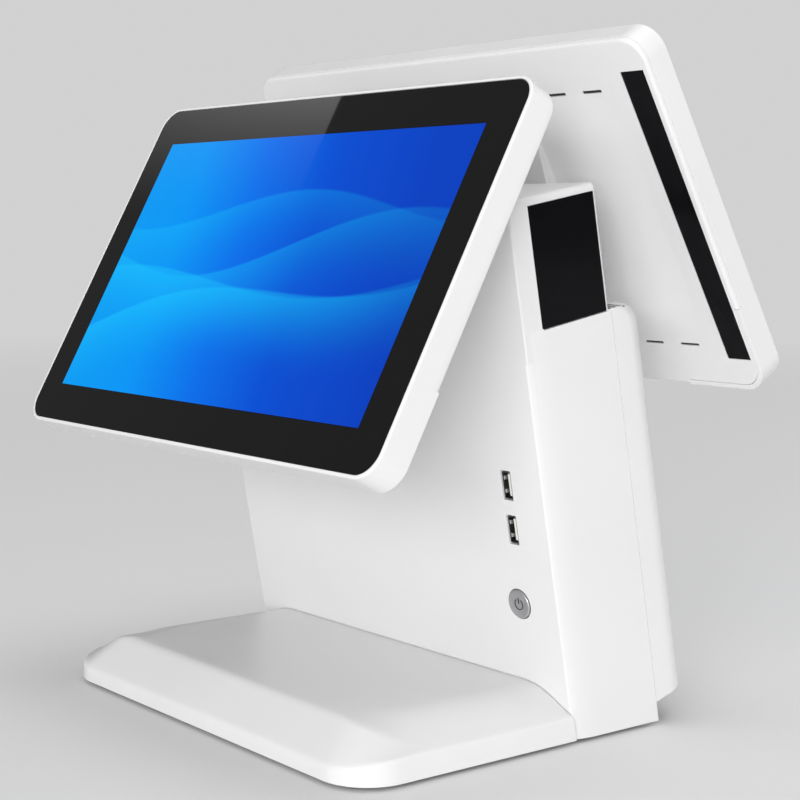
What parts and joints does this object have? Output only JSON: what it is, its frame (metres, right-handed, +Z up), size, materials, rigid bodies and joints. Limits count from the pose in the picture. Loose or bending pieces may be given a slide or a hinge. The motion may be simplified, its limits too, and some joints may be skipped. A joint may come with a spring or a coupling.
{
  "type": "point-of-sale touchscreen terminal",
  "caption": "Checkout terminal with a touchscreen for the operator and a second display for the customer, each tilting on a leaning column that stands on a flat weighted foot.",
  "frame": {"origin": "centre of the bounding box, on the surface it stands on", "axes": "+Z up, +Y from the operator towards the customer, +X to the operator's right"},
  "size_m": [0.2994, 0.2569, 0.3315],
  "materials": {
    "white_shell": "fine satin texture",
    "gloss_black": "polished",
    "screen_glass": "polished cover glass, printed black behind its edges",
    "lcd": "lit panel",
    "rubber": "matte",
    "dark_steel": "black zinc",
    "steel": "zinc plated",
    "matte_black": "matte",
    "circuit_board": "solder mask",
    "aluminium": "natural",
    "white_plastic": "moulded",
    "button_metal": "fine blasted"
  },
  "bodies": {
    "base": {"foot_shell": "white_shell", "column_shell": "white_shell", "rear_cover": "white_shell", "top_vent_grille": "white_shell", "side_panel_left": "gloss_black", "side_panel_right": "gloss_black", "pad_front_left": "rubber", "pad_front_right": "rubber", "pad_rear_left": "rubber", "pad_rear_right": "rubber", "base_plate": "dark_steel", "ballast_plate": "dark_steel", "base_screw_1": "steel", "base_screw_2": "steel", "base_screw_3": "steel", "base_screw_4": "steel", "hinge_chassis": "steel", "front_hinge_bracket": "steel", "customer_hinge_bracket": "steel", "front_hinge_shaft": "steel", "customer_hinge_shaft": "steel", "usb_shell_upper": "steel", "usb_shell_lower": "steel", "lan_port": "steel", "video_port": "steel", "rear_usb_stack": "steel", "power_button_spring": "steel", "speaker": "matte_black", "io_panel": "matte_black", "dc_inlet_jack": "matte_black", "drawer_port": "matte_black", "power_button_guide": "matte_black", "power_switch": "matte_black", "front_hinge_washer_left": "matte_black", "front_hinge_washer_right": "matte_black", "customer_hinge_washer_left": "matte_black", "customer_hinge_washer_right": "matte_black", "mainboard": "circuit_board", "front_board": "circuit_board", "heat_sink": "aluminium", "usb_tongue_upper": "white_plastic", "usb_tongue_lower": "white_plastic"},
    "front_display": {"front_display_frame": "white_shell", "front_display_glass": "screen_glass", "front_display_lcd": "lcd", "front_display_board": "circuit_board", "front_display_back_cover": "white_shell", "front_display_strip_left": "gloss_black", "front_display_strip_right": "gloss_black", "front_hinge_leaf": "steel"},
    "customer_display": {"customer_display_frame": "white_shell", "customer_display_glass": "screen_glass", "customer_display_lcd": "lcd", "customer_display_board": "circuit_board", "customer_display_back_cover": "white_shell", "customer_display_strip_left": "gloss_black", "customer_display_strip_right": "gloss_black", "customer_hinge_leaf": "steel", "customer_hinge_cover": "white_shell"},
    "power_button": {"power_button_cap": "button_metal"}
  },
  "joints": [
    {"name": "front_display_tilt", "type": "hinge", "parent": "base", "child": "front_display", "pos_m": [0, -0.04302, 0.23261], "axis": [1, 0, 0], "range_deg": [-15, 20]},
    {"name": "customer_display_tilt", "type": "hinge", "parent": "base", "child": "customer_display", "pos_m": [0, 0.03554, 0.24777], "axis": [1, 0, 0], "range_deg": [-20, 10]},
    {"name": "power_button_press", "type": "slide", "parent": "base", "child": "power_button", "axis": [0, 0.9819, 0.1894], "range_m": [0, 0.001], "stiffness_N_per_m": 900, "springref_m": -0.0004, "deforming": ["power_button_spring"]}
  ]
}
